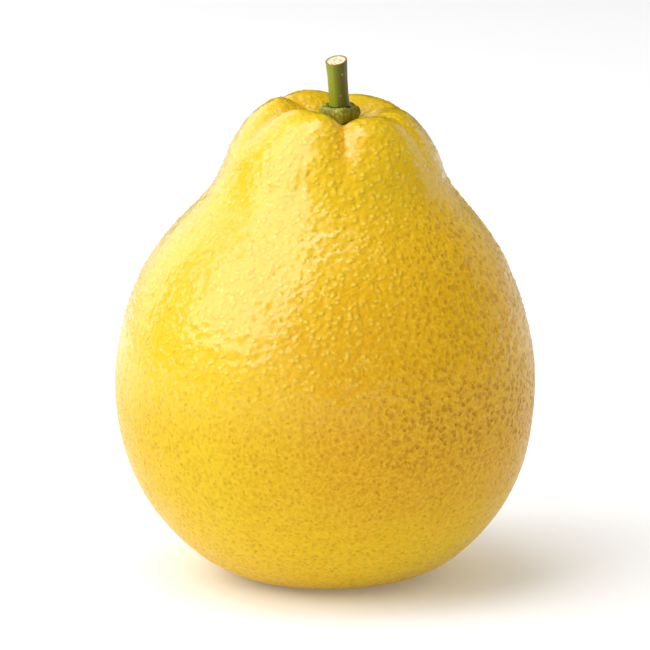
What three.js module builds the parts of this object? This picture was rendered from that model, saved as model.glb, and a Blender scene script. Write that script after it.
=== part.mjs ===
// A whole pomelo with a short stalk, standing on the small flat of its base.
// Millimetres, +Z up. The origin is the middle of the flat.
// Azimuths are degrees about +Z from +X, so 270 is the front of the fruit, -Y.
import * as THREE from 'three';
import { mergeVertices } from 'three/addons/utils/BufferGeometryUtils.js';

// Fruit outline: control points [radius, height] of a cubic B-spline, base to stem cavity
const OUTLINE = [
  [0, 0], [12, 0], [26, 0], [42.4, 2.6], [60.4, 17.3], [75.6, 38.3], [82.6, 72.5], [76.3, 107.4],
  [63.4, 132.8], [42.8, 151.7], [41.2, 165.4], [28.7, 183.6], [17.7, 184.3], [9, 176.3], [0, 175.8],
];
const FLAT_RADIUS = 18;

// Grooves between the lobes of the shoulder. Each is deepest on the crest.
// halfWidth is in degrees, and reach is how far below the crest the groove fades out.
const GROOVES = [
  { azimuth: 276, depth: 4.6, halfWidth: 11, reach: 32 },
  { azimuth: 332, depth: 1.8, halfWidth: 11, reach: 38 },
  { azimuth: 22, depth: 1.4, halfWidth: 11, reach: 32 },
  { azimuth: 92, depth: 2.2, halfWidth: 12, reach: 20 },
  { azimuth: 150, depth: 3.6, halfWidth: 12, reach: 12 },
  { azimuth: 203, depth: 4.6, halfWidth: 13, reach: 22 },
];
const GROOVE_ROUNDING = 0.3;

// The crest stands higher on one side
const CREST_TILT = { azimuth: 165, rise: 2.6, startHeight: 145 };

// Sideways shifts along +X: the foot, the neck, and the cavity inside the neck
const FOOT_SHIFT = { distance: 1.5, endHeight: 70 };
const NECK_SHIFT = { distance: 5.4, startHeight: 95, endHeight: 208 };
const CAVITY_SHIFT = 1.2;

// Calyx: a lumpy five-lobed button with a socket for the stalk
const CALYX = { radius: 7.5, lobes: 5, lobeDepth: 0.5, frontAzimuth: 274, topHeight: 182.2, rimDrop: 2.2 };
const SOCKET = { radius: 4.55, depth: 1.8 };
const SEAT_GAP = 0.45;

// Stalk: a stub that narrows in the middle, leans, and ends in an oblique cut
const STALK = { footRadius: 4.2, waistRadius: 3.75, cutRadius: 4.15, cutHeight: 199.5 };
const STALK_GAP = 0.3;
const STALK_LEAN = { x: -1.3, y: 0.4 };
const CUT_SLOPE = { x: 0.14, y: 0.27 };

// Mesh steps
const FRUIT_COLUMNS = 80;
const STATIONS_PER_SPAN = 3;
const CALYX_COLUMNS = 40;
const STALK_COLUMNS = 24;

const radians = THREE.MathUtils.degToRad;
const smooth = (value) => THREE.MathUtils.smoothstep(value, 0, 1);
const spans = OUTLINE.length - 1;

/** Control point of the outline. The two ends are mirrored across the axis. */
function controlPoint(index) {
  if (index < 0) return [-OUTLINE[-index][0], OUTLINE[-index][1]];
  if (index > spans) return [-OUTLINE[2 * spans - index][0], OUTLINE[2 * spans - index][1]];
  return OUTLINE[index];
}

/** Station of the outline at t, from 0 at the base pole to 1 at the cavity pole. */
function stationAt(t) {
  const span = Math.min(Math.floor(t * spans), spans - 1);
  const u = t * spans - span;
  const v = 1 - u;
  const weights = [v ** 3, 3 * u ** 3 - 6 * u ** 2 + 4, 3 * v ** 3 - 6 * v ** 2 + 4, u ** 3];
  const slopes = [-(v ** 2), 3 * u ** 2 - 4 * u, 4 * v - 3 * v ** 2, u ** 2];
  const points = [-1, 0, 1, 2].map((step) => controlPoint(span + step));
  const blend = (factors, axis) => points.reduce((sum, point, k) => sum + factors[k] * point[axis], 0);
  const along = new THREE.Vector2(blend(slopes, 0), blend(slopes, 1)).normalize();
  return {
    t,
    radius: Math.max(blend(weights, 0) / 6, 0),
    height: blend(weights, 1) / 6,
    outward: new THREE.Vector2(along.y, -along.x),
  };
}

/** The highest station of the outline. */
function findCrest() {
  const steps = Array.from({ length: 501 }, (_, k) => stationAt(0.5 + k / 1000));
  return steps.reduce((best, station) => (station.height > best.height ? station : best));
}

const CREST = findCrest();

/** How deep the grooves cut the skin at a station and azimuth. */
function grooveDepth(station, azimuth) {
  const below = CREST.height - station.height;
  const inCavity = station.t > CREST.t;
  return GROOVES.reduce((sum, groove) => {
    const turn = THREE.MathUtils.euclideanModulo(azimuth - radians(groove.azimuth) + Math.PI, 2 * Math.PI);
    const across = (turn - Math.PI) / radians(groove.halfWidth);
    const section = Math.exp(GROOVE_ROUNDING - Math.hypot(across, GROOVE_ROUNDING));
    const fade = inCavity ? smooth(station.radius / CREST.radius) : smooth(1 - below / groove.reach);
    return sum + groove.depth * fade * section;
  }, 0);
}

/** Sideways shift of the skin at a station and height. */
function sideShift(station, height) {
  const foot = FOOT_SHIFT.distance * (1 - smooth(height / FOOT_SHIFT.endHeight));
  const rise = NECK_SHIFT.endHeight - NECK_SHIFT.startHeight;
  const neck = NECK_SHIFT.distance * smooth((height - NECK_SHIFT.startHeight) / rise);
  const inCavity = station.t > CREST.t;
  const cavity = inCavity ? CAVITY_SHIFT * smooth(1 - station.radius / CREST.radius) : 0;
  return foot + neck + cavity;
}

/** Point of the fruit's skin at a station and azimuth. */
function skinPoint(station, azimuth) {
  const cut = grooveDepth(station, azimuth);
  const radius = station.radius - station.outward.x * cut;
  const upper = (station.height - CREST_TILT.startHeight) / (CREST.height - CREST_TILT.startHeight);
  const lever = smooth(upper) * Math.min(station.radius / CREST.radius, 1);
  const tilt = CREST_TILT.rise * lever * Math.cos(azimuth - radians(CREST_TILT.azimuth));
  const height = station.height - station.outward.y * cut + tilt;
  const x = radius * Math.cos(azimuth) + sideShift(station, height);
  return new THREE.Vector3(x, radius * Math.sin(azimuth), height);
}

/** A closed lathe of as many rows as given, with each point moved to where place puts it. */
function shapedLathe(rowCount, columns, place) {
  const rows = Array.from({ length: rowCount }, (_, k) => {
    const onAxis = k === 0 || k === rowCount - 1;
    return new THREE.Vector2(onAxis ? 0 : 1, k);
  });
  const geometry = new THREE.LatheGeometry(rows, columns);
  const positions = geometry.attributes.position;
  for (let column = 0; column <= columns; column += 1) {
    const azimuth = (((column % columns) + 0.5) / columns) * 2 * Math.PI;
    for (let row = 0; row < rowCount; row += 1) {
      const point = place(row, azimuth);
      positions.setXYZ(column * rowCount + row, point.x, point.y, point.z);
    }
  }
  geometry.deleteAttribute('normal');
  geometry.deleteAttribute('uv');
  const merged = mergeVertices(geometry, 1e-4);
  merged.computeVertexNormals();
  return merged;
}

/** The fruit: the flat of its base, then the outline up and over into the stem cavity. */
function fruitGeometry() {
  const steps = spans * STATIONS_PER_SPAN;
  const all = Array.from({ length: steps + 1 }, (_, k) => stationAt(k / steps));
  const flatEdge = all.findIndex((station) => station.radius > FLAT_RADIUS);
  const edge = { ...all[flatEdge], radius: FLAT_RADIUS, height: 0 };
  const stations = [all[0], edge, ...all.slice(flatEdge + 1)];
  return shapedLathe(stations.length, FRUIT_COLUMNS, (row, azimuth) => skinPoint(stations[row], azimuth));
}

/** Station inside the stem cavity at a radius from its pole. */
function cavityStation(radius) {
  let near = CREST.t;
  let far = 1;
  for (let step = 0; step < 30; step += 1) {
    const middle = (near + far) / 2;
    if (stationAt(middle).radius > radius) near = middle;
    else far = middle;
  }
  return stationAt(far);
}

const CAVITY_POLE = skinPoint(stationAt(1), 0);

/** Point at a radius, azimuth and height about the calyx's own axis. */
function calyxPoint(radius, azimuth, height) {
  const x = CAVITY_POLE.x + radius * Math.cos(azimuth);
  return new THREE.Vector3(x, radius * Math.sin(azimuth), height);
}

/** Point of the calyx's underside, which follows the floor of the cavity. */
function seatPoint(radius, azimuth) {
  const floor = skinPoint(cavityStation(radius), azimuth);
  return new THREE.Vector3(floor.x, floor.y, floor.z + SEAT_GAP);
}

/** The calyx: its seat, a rounded lobed edge, and the socket in its top. */
function calyxGeometry() {
  const edgeRadius = (azimuth) => {
    const wave = Math.cos(CALYX.lobes * (azimuth - radians(CALYX.frontAzimuth)));
    return CALYX.radius + CALYX.lobeDepth * wave;
  };
  const rimHeight = CALYX.topHeight - CALYX.rimDrop;
  const socketFloor = CALYX.topHeight - SOCKET.depth;
  const edgeHeight = (edge, azimuth) => (seatPoint(edge, azimuth).z + rimHeight) / 2;
  const rows = [
    (edge, azimuth) => calyxPoint(0, azimuth, CAVITY_POLE.z + SEAT_GAP),
    (edge, azimuth) => seatPoint(edge * 0.3, azimuth),
    (edge, azimuth) => seatPoint(edge * 0.6, azimuth),
    (edge, azimuth) => seatPoint(edge * 0.9, azimuth),
    (edge, azimuth) => calyxPoint(edge, azimuth, edgeHeight(edge, azimuth)),
    (edge, azimuth) => calyxPoint(edge * 0.96, azimuth, rimHeight),
    (edge, azimuth) => calyxPoint(edge * 0.83, azimuth, CALYX.topHeight - 0.4),
    (edge, azimuth) => calyxPoint(edge * 0.7, azimuth, CALYX.topHeight),
    (edge, azimuth) => calyxPoint(SOCKET.radius, azimuth, CALYX.topHeight - 0.4),
    (edge, azimuth) => calyxPoint(SOCKET.radius, azimuth, socketFloor),
    (edge, azimuth) => calyxPoint(0, azimuth, socketFloor),
  ];
  return shapedLathe(rows.length, CALYX_COLUMNS, (row, azimuth) => rows[row](edgeRadius(azimuth), azimuth));
}

/** The stalk: its foot in the socket, a narrowed middle, and the oblique cut. */
function stalkGeometry() {
  const footHeight = CALYX.topHeight - SOCKET.depth + STALK_GAP;
  const radiusAt = new THREE.SplineCurve([
    new THREE.Vector2(0, STALK.footRadius),
    new THREE.Vector2(0.3, STALK.waistRadius + 0.1),
    new THREE.Vector2(0.65, STALK.waistRadius),
    new THREE.Vector2(1, STALK.cutRadius),
  ]);
  const rises = [0, 0, 0.12, 0.3, 0.5, 0.7, 0.85, 0.94, 1, 1];
  return shapedLathe(rises.length, STALK_COLUMNS, (row, azimuth) => {
    const rise = rises[row];
    const onAxis = row === 0 || row === rises.length - 1;
    const radius = onAxis ? 0 : radiusAt.getPoint(rise).y;
    const slant = CUT_SLOPE.x * Math.cos(azimuth) + CUT_SLOPE.y * Math.sin(azimuth);
    const height = footHeight + (STALK.cutHeight - footHeight) * rise + radius * slant * rise ** 3;
    const point = calyxPoint(radius, azimuth, height);
    return point.add(new THREE.Vector3(STALK_LEAN.x * rise, STALK_LEAN.y * rise ** 2, 0));
  });
}

const peel = new THREE.MeshStandardMaterial({ color: 0xe6b422, roughness: 0.42, metalness: 0 });
const calyxGreen = new THREE.MeshStandardMaterial({ color: 0x8c8a38, roughness: 0.55, metalness: 0 });
const stalkGreen = new THREE.MeshStandardMaterial({ color: 0x6b6a14, roughness: 0.45, metalness: 0 });

/** A mesh with the name of its piece. */
function piece(name, geometry, material) {
  const mesh = new THREE.Mesh(geometry, material);
  mesh.name = name;
  return mesh;
}

const pomelo = new THREE.Group();
pomelo.add(piece('fruit', fruitGeometry(), peel));
pomelo.add(piece('calyx', calyxGeometry(), calyxGreen));
pomelo.add(piece('stem', stalkGeometry(), stalkGreen));

export default pomelo;
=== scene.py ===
"""The looks of a whole pomelo with a short cut stalk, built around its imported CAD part.

Everything is in metres in the part's own frame: +Z up, the origin in the middle of the flat of the
base, and the front of the fruit towards -Y. Azimuths are degrees about +Z from +X.
"""

import logging
import math
from dataclasses import dataclass, field, replace
from enum import Enum
from typing import Callable

import bpy
import numpy as np
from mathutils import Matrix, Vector, noise
from mathutils.geometry import delaunay_2d_cdt


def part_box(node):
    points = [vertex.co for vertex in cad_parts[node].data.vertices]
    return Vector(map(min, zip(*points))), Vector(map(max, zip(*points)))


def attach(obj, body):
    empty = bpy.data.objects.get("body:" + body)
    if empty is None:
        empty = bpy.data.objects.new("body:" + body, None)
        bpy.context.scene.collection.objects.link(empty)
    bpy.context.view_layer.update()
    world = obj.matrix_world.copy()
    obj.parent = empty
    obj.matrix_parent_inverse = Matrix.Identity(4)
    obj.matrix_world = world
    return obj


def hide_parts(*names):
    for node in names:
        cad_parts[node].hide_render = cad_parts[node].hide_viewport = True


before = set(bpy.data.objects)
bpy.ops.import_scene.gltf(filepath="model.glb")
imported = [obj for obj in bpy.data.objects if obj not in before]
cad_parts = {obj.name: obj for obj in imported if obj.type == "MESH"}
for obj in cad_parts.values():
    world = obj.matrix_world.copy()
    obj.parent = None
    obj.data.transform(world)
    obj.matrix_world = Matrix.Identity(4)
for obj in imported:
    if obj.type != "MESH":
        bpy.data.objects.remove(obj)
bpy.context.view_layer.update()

LOG = logging.getLogger("pomelo")
MM = 0.001
GOLDEN_ANGLE = math.pi * (3 - math.sqrt(5))
ROOT_BODY = "root"

Array = np.ndarray
Colour = tuple[float, float, float, float]
Triple = tuple[float, float, float]
Band = tuple[float, float]


class Slot(Enum):
    """The record's material slots."""

    PEEL = "peel"
    CALYX = "calyx"
    STALK = "stalk"


# Numbers


def smooth(value: Array | float) -> Array:
    """Smooth step from 0 at 0 to 1 at 1."""
    held = np.clip(value, 0, 1)
    return held * held * (3 - 2 * held)


def ramp(value: Array | float, start: float, end: float) -> Array:
    """Smooth step from 0 at the start to 1 at the end."""
    return smooth((value - start) / (end - start))


def turn_from(azimuth: Array, middle: float) -> Array:
    """Turn from the middle azimuth, in radians from -pi to pi."""
    return (azimuth - middle + np.pi) % (2 * np.pi) - np.pi


def circle(azimuth: Array) -> Array:
    """Points of a level circle of radius 1."""
    return np.stack([np.cos(azimuth), np.sin(azimuth), 0 * azimuth], -1)


def noise_at(points: Array, size: Triple, seed: int) -> Array:
    """Smooth noise at points.

    Args:
        points: Places, one row each, in metres.
        size: Width of the noise's lumps along X, Y and Z.
        seed: Number that picks one noise out of many.

    Returns:
        One value from about -1 to 1 for each point.
    """
    scaled = points / np.asarray(size) + 17.3 * seed
    return np.array([noise.noise(Vector(point)) for point in scaled])


def spline_points(controls: Array, t: Array) -> tuple[Array, Array]:
    """Uniform cubic B-spline through rows of control points.

    Args:
        controls: Control points, with one extra at each end.
        t: Places along the curve, from 0 to 1.

    Returns:
        The points of the curve and its direction there, not normalised.
    """
    spans = len(controls) - 3
    along = np.asarray(t, float) * spans
    span = np.clip(along.astype(int), 0, spans - 1)
    u = (along - span)[..., None]
    v = 1 - u
    p0, p1, p2, p3 = (controls[span + k] for k in range(4))
    points = (v**3 * p0 + (3 * u**3 - 6 * u**2 + 4) * p1 + (3 * v**3 - 6 * v**2 + 4) * p2 + u**3 * p3) / 6
    slopes = (-(v**2) * p0 + (3 * u**2 - 4 * u) * p1 + (4 * v - 3 * v**2) * p2 + u**2 * p3) / 2
    return points, slopes


# The form of the fruit


@dataclass(frozen=True)
class Groove:
    """A groove between two lobes of the shoulder, deepest on the crest."""

    azimuth: float
    depth: float
    half_width: float
    reach: float


@dataclass(frozen=True)
class SkinForm:
    """The smooth form of the fruit, before its peel's relief. It is the CAD part's own form.

    Its sizes are in millimetres, and its angles in degrees.
    """

    outline: tuple[tuple[float, float], ...] = (
        (0, 0), (12, 0), (26, 0), (42.4, 2.6), (60.4, 17.3), (75.6, 38.3), (82.6, 72.5), (76.3, 107.4),
        (63.4, 132.8), (42.8, 151.7), (41.2, 165.4), (28.7, 183.6), (17.7, 184.3), (9, 176.3), (0, 175.8),
    )
    grooves: tuple[Groove, ...] = (
        Groove(276, 4.6, 11, 32),
        Groove(332, 1.8, 11, 38),
        Groove(22, 1.4, 11, 32),
        Groove(92, 2.2, 12, 20),
        Groove(150, 3.6, 12, 12),
        Groove(203, 4.6, 13, 22),
    )
    groove_rounding: float = 0.3
    tilt_rise: float = 2.6
    tilt_azimuth: float = 165
    tilt_start: float = 145
    foot_shift: float = 1.5
    foot_end: float = 70
    neck_shift: float = 5.4
    neck_rise: Band = (95, 208)
    cavity_shift: float = 1.2
    scale: float = MM

    def fitted(self, top: float) -> "SkinForm":
        """Scale the form.

        Args:
            top: Height of its highest point, in metres.

        Returns:
            The same form, as high as that.
        """
        azimuths = np.linspace(0, 2 * np.pi, 181)
        crest = np.full_like(azimuths, self.crest()[0])
        return replace(self, scale=self.scale * top / self.place(crest, azimuths)[:, 2].max())

    def station(self, t: Array) -> tuple[Array, Array, Array, Array]:
        """Stations of the outline, in millimetres.

        Args:
            t: Places along the outline, from 0 at the base pole to 1 at the cavity pole.

        Returns:
            The radius, the height and the two parts of the outward normal, radial and upward.
        """
        points = np.asarray(self.outline, float)
        mirror = np.array([-1, 1])
        controls = np.vstack([points[1] * mirror, points, points[-2] * mirror])
        place, slope = spline_points(controls, t)
        length = np.hypot(slope[..., 0], slope[..., 1]) + 1e-12
        return np.maximum(place[..., 0], 0), place[..., 1], slope[..., 1] / length, -slope[..., 0] / length

    def crest(self) -> tuple[float, float, float]:
        """Find the highest station of the outline.

        Returns:
            Its place along the outline, its radius and its height.
        """
        t = np.linspace(0.5, 1, 2001)
        radius, height, _, _ = self.station(t)
        top = int(np.argmax(height))
        return float(t[top]), float(radius[top]), float(height[top])

    def place(self, t: Array, azimuth: Array) -> Array:
        """Points of the skin.

        Args:
            t: Places along the outline.
            azimuth: Azimuths in radians, as many as there are places.

        Returns:
            One point for each pair, in metres.
        """
        radius, height, out_radial, out_up = self.station(t)
        crest_t, crest_radius, crest_height = self.crest()
        outside = t < crest_t
        cut = np.zeros_like(radius)
        for groove in self.grooves:
            across = turn_from(azimuth, math.radians(groove.azimuth)) / math.radians(groove.half_width)
            section = np.exp(self.groove_rounding - np.hypot(across, self.groove_rounding))
            below = smooth(1 - (crest_height - height) / groove.reach)
            cut += groove.depth * section * np.where(outside, below, smooth(radius / crest_radius))
        lever = np.minimum(radius / crest_radius, 1)
        lever = lever * ramp(height, self.tilt_start, crest_height)
        tilt = self.tilt_rise * lever * np.cos(azimuth - math.radians(self.tilt_azimuth))
        around = radius - out_radial * cut
        up = height - out_up * cut + tilt
        shift = self.foot_shift * (1 - smooth(up / self.foot_end))
        shift = shift + self.neck_shift * ramp(up, *self.neck_rise)
        shift = shift + np.where(outside, 0, self.cavity_shift * smooth(1 - radius / crest_radius))
        x = around * np.cos(azimuth) + shift
        y = around * np.sin(azimuth)
        return np.stack([x, y, up], -1) * self.scale

    def cavity_t(self, radius: Array) -> Array:
        """Places along the outline inside the stem cavity, for radii in metres."""
        t = np.linspace(1, self.crest()[0], 600)
        return np.interp(np.asarray(radius) / self.scale, self.station(t)[0], t)

    def cavity_pole(self) -> Array:
        """The deepest point of the stem cavity, in metres."""
        return self.place(np.array([1.0]), np.array([0.0]))[0]


# Node trees


def operator(operation: str, swapped: bool = False) -> Callable[["Wire", "Number"], "Wire"]:
    """A method of Wire that adds a Math node.

    Args:
        operation: The Math node's operation.
        swapped: Whether the wire is the second of the two values.

    Returns:
        The method.
    """

    def joined(self: "Wire", other: "Number") -> "Wire":
        """The result of the operation on the wire and another value."""
        return self.graph.math(operation, *((other, self) if swapped else (self, other)))

    return joined


class Wire:
    """An output socket of a node tree. Its operators add Math nodes."""

    def __init__(self, graph: "Graph", socket: bpy.types.NodeSocket) -> None:
        """Hold the graph and one of its output sockets."""
        self.graph = graph
        self.socket = socket

    __add__ = operator("ADD")
    __radd__ = operator("ADD")
    __sub__ = operator("SUBTRACT")
    __rsub__ = operator("SUBTRACT", swapped=True)
    __mul__ = operator("MULTIPLY")
    __rmul__ = operator("MULTIPLY")
    __truediv__ = operator("DIVIDE")
    __rtruediv__ = operator("DIVIDE", swapped=True)
    __pow__ = operator("POWER")
    at_least = operator("MAXIMUM")
    at_most = operator("MINIMUM")

    def step(self, low: float, high: float) -> "Wire":
        """Smooth step from 0 at the low value to 1 at the high one."""
        values = {"Value": self, "From Min": low, "From Max": high}
        return self.graph.add("ShaderNodeMapRange", {"interpolation_type": "SMOOTHSTEP"}, values)


Number = Wire | float


class Graph:
    """A shader or geometry tree that is being built."""

    def __init__(self, tree: bpy.types.NodeTree) -> None:
        """Hold the tree."""
        self.tree = tree

    def add(
        self, kind: str, settings: dict | None = None, values: dict | None = None, output: int | str = 0
    ) -> Wire:
        """Add a node.

        Args:
            kind: The node's type.
            settings: The node's own properties, which are set first.
            values: Numbers or wires for its input sockets, by name or index.
            output: The output socket that is wanted.

        Returns:
            That output socket.
        """
        node = self.tree.nodes.new(kind)
        for name, setting in (settings or {}).items():
            setattr(node, name, setting)
        for key, value in (values or {}).items():
            if isinstance(value, Wire):
                self.tree.links.new(value.socket, node.inputs[key])
            else:
                node.inputs[key].default_value = value
        return Wire(self, node.outputs[output])

    def math(self, operation: str, *values: Number) -> Wire:
        """Add a Math node."""
        return self.add("ShaderNodeMath", {"operation": operation}, dict(enumerate(values)))

    def vector(self, operation: str, *values: "Wire | tuple[float, ...]") -> Wire:
        """Add a Vector Math node."""
        return self.add("ShaderNodeVectorMath", {"operation": operation}, dict(enumerate(values)))

    def scaled(self, vector: Wire, share: Number) -> Wire:
        """A vector times a number."""
        return self.add("ShaderNodeVectorMath", {"operation": "SCALE"}, {"Vector": vector, "Scale": share})

    def part(self, vector: Wire, axis: str) -> Wire:
        """The X, Y or Z of a vector."""
        return self.add("ShaderNodeSeparateXYZ", None, {"Vector": vector}, axis)

    def attribute(self, label: str) -> Wire:
        """A number that the mesh holds at each point, for a material."""
        return self.add("ShaderNodeAttribute", {"attribute_name": label}, output="Fac")

    def bump(self, height: Wire) -> Wire:
        """The normal of a surface that is raised by a height in metres."""
        return self.add("ShaderNodeBump", None, {"Height": height, "Distance": 1.0})

    def mix(self, share: Number, first: "Wire | Colour", second: "Wire | Colour", blend: str = "MIX") -> Wire:
        """Mix two colours.

        Args:
            share: How much of the second colour shows, from 0 to 1.
            first: The first colour.
            second: The second colour.
            blend: The Mix node's blend type.

        Returns:
            The mixed colour.
        """
        settings = {"data_type": "RGBA", "blend_type": blend}
        return self.add("ShaderNodeMix", settings, {0: share, 6: first, 7: second}, 2)

    def noise(self, place: Wire, size: float, detail: float = 2.0, rough: float = 0.5) -> Wire:
        """Noise of about 0 to 1 with lumps of the given size.

        Args:
            place: Coordinates.
            size: Width of a lump, in metres.
            detail: Number of finer layers.
            rough: Strength of each finer layer.

        Returns:
            The noise.
        """
        values = {"Vector": place, "Scale": 1 / size, "Detail": detail, "Roughness": rough}
        return self.add("ShaderNodeTexNoise", None, values)

    def stretched(self, place: Wire, angles: Triple, scale: Triple = (1, 1, 1)) -> Wire:
        """Turn coordinates, then scale them.

        Args:
            place: Coordinates.
            angles: Turns about X, Y and Z, in degrees.
            scale: Factors along X, Y and Z.

        Returns:
            The new coordinates.
        """
        values = {"Vector": place, "Rotation": tuple(map(math.radians, angles))}
        turned = self.add("ShaderNodeVectorRotate", {"rotation_type": "EULER_XYZ"}, values)
        return self.vector("MULTIPLY", turned, scale)


def inputs_from(thing: object, *fields: str) -> dict[str, float | int]:
    """Fields of a thing as a tree's inputs: pit_depth as Pit Depth."""
    return {label.replace("_", " ").title(): getattr(thing, label) for label in fields}


class ReliefTree:
    """A geometry tree with named inputs, run once on a mesh."""

    def __init__(self, name: str, inputs: dict[str, float | int | bpy.types.Material]) -> None:
        """Start a tree.

        Args:
            name: The tree's name.
            inputs: The names of its inputs, with the value that each has in this run.
        """
        self.tree = bpy.data.node_groups.new(name, "GeometryNodeTree")
        self.inputs = inputs
        face = self.tree.interface
        face.new_socket("Geometry", in_out="INPUT", socket_type="NodeSocketGeometry")
        for label, value in inputs.items():
            kinds = {int: "NodeSocketInt", float: "NodeSocketFloat"}
            face.new_socket(label, in_out="INPUT", socket_type=kinds.get(type(value), "NodeSocketMaterial"))
        face.new_socket("Geometry", in_out="OUTPUT", socket_type="NodeSocketGeometry")
        self.graph = Graph(self.tree)
        self.entry = self.tree.nodes.new("NodeGroupInput")

    def given(self, label: str) -> Wire:
        """The input of that name."""
        return Wire(self.graph, self.entry.outputs[label])

    def attribute(self, label: str) -> Wire:
        """A number that the mesh holds at each point."""
        settings = {"data_type": "FLOAT"}
        return self.graph.add("GeometryNodeInputNamedAttribute", settings, {"Name": label}, "Attribute")

    def close(self, geometry: Wire) -> None:
        """End the tree in Realize Instances and Set Material.

        Args:
            geometry: The finished geometry.
        """
        real = self.graph.add("GeometryNodeRealizeInstances", None, {"Geometry": geometry})
        values = {"Geometry": real, "Material": self.given("Material")}
        dressed = self.graph.add("GeometryNodeSetMaterial", None, values)
        leave = self.tree.nodes.new("NodeGroupOutput")
        self.tree.links.new(dressed.socket, leave.inputs[0])

    def run(self, base: bpy.types.Mesh, name: str) -> bpy.types.Object:
        """Run the tree.

        Args:
            base: The mesh that goes in.
            name: The name of the piece that comes out.

        Returns:
            An object at the origin with a plain mesh and no modifier.
        """
        source = bpy.data.objects.new(f"{name} base", base)
        bpy.context.scene.collection.objects.link(source)
        modifier = source.modifiers.new(self.tree.name, "NODES")
        modifier.node_group = self.tree
        for item in self.tree.interface.items_tree:
            if item.in_out == "INPUT" and item.name in self.inputs:
                modifier[item.identifier] = self.inputs[item.name]
        graph = bpy.context.evaluated_depsgraph_get()
        made = bpy.data.meshes.new_from_object(source.evaluated_get(graph), depsgraph=graph)
        source.modifiers.remove(modifier)
        bpy.data.objects.remove(source)
        made.name = name
        for polygon in made.polygons:
            polygon.use_smooth = True
        piece = bpy.data.objects.new(name, made)
        bpy.context.scene.collection.objects.link(piece)
        return piece


# Meshes


def mesh_from(name: str, points: Array, faces: list | Array, attributes: dict[str, Array]) -> bpy.types.Mesh:
    """A smooth mesh with a number for each of its points under each attribute's name.

    Args:
        name: The mesh's name.
        points: Its points, one row each.
        faces: Its faces, as rows of point numbers.
        attributes: The values of each attribute, one for each point.

    Returns:
        The mesh.
    """
    mesh = bpy.data.meshes.new(name)
    mesh.from_pydata([tuple(point) for point in points.tolist()], [], [tuple(face) for face in faces])
    mesh.update()
    for label, values in attributes.items():
        mesh.attributes.new(label, "FLOAT", "POINT").data.foreach_set("value", np.asarray(values, np.float32))
    for polygon in mesh.polygons:
        polygon.use_smooth = True
    return mesh


def lathe_faces(rows: int, columns: int) -> list[tuple[int, ...]]:
    """Faces of a closed lathe: a point, rows of points from bottom to top, and a last point.

    Args:
        rows: Number of rows between the two poles.
        columns: Number of points in a row, with azimuth growing.

    Returns:
        The faces, turned outwards.
    """
    last = rows * columns + 1
    faces: list[tuple[int, ...]] = []
    for column in range(columns):
        after = (column + 1) % columns
        faces.append((0, 1 + after, 1 + column))
        faces.append((last, last - columns + column, last - columns + after))
        for row in range(rows - 1):
            low, high = 1 + row * columns, 1 + (row + 1) * columns
            faces.append((low + column, low + after, high + after, high + column))
    return faces


def with_poles(first: float, values: Array, last: float) -> Array:
    """A lathe's values, row after row, between those of its two poles."""
    return np.concatenate([[first], values.reshape(-1), [last]])


def finish_piece(piece: bpy.types.Object, node: str) -> None:
    """Put a finished piece in place of its CAD node and report it.

    Args:
        piece: The piece.
        node: The name of the CAD node.
    """
    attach(piece, ROOT_BODY)
    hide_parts(node)
    triangles = sum(len(polygon.vertices) - 2 for polygon in piece.data.polygons)
    LOG.info("%s: %d triangles in place of node %s", piece.name, triangles, node)


# Finishes


def start_material(name: str) -> tuple[bpy.types.Material, Graph, bpy.types.Node]:
    """Start a material.

    Args:
        name: The material's name.

    Returns:
        The material, its graph and its shader.
    """
    material = bpy.data.materials.new(name)
    material.use_nodes = True
    return material, Graph(material.node_tree), material.node_tree.nodes["Principled BSDF"]


def set_shader(graph: Graph, shader: bpy.types.Node, values: dict[str, "Wire | float | tuple"]) -> None:
    """Set a shader's sockets to numbers, or link them to wires.

    Args:
        graph: The shader's graph.
        shader: The shader.
        values: What each socket gets, by the socket's name.
    """
    for label, value in values.items():
        if isinstance(value, Wire):
            graph.tree.links.new(value.socket, shader.inputs[label])
        else:
            shader.inputs[label].default_value = value


@dataclass(frozen=True)
class PeelMarks:
    """Where each kind of mark shows on the peel, from 0 to 1."""

    low: Wire
    netted: Wire
    beaded: Wire
    bead: Wire
    cobble: Wire
    dimple: Wire
    mouth: Wire
    sunk: Wire
    scar: Wire


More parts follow.
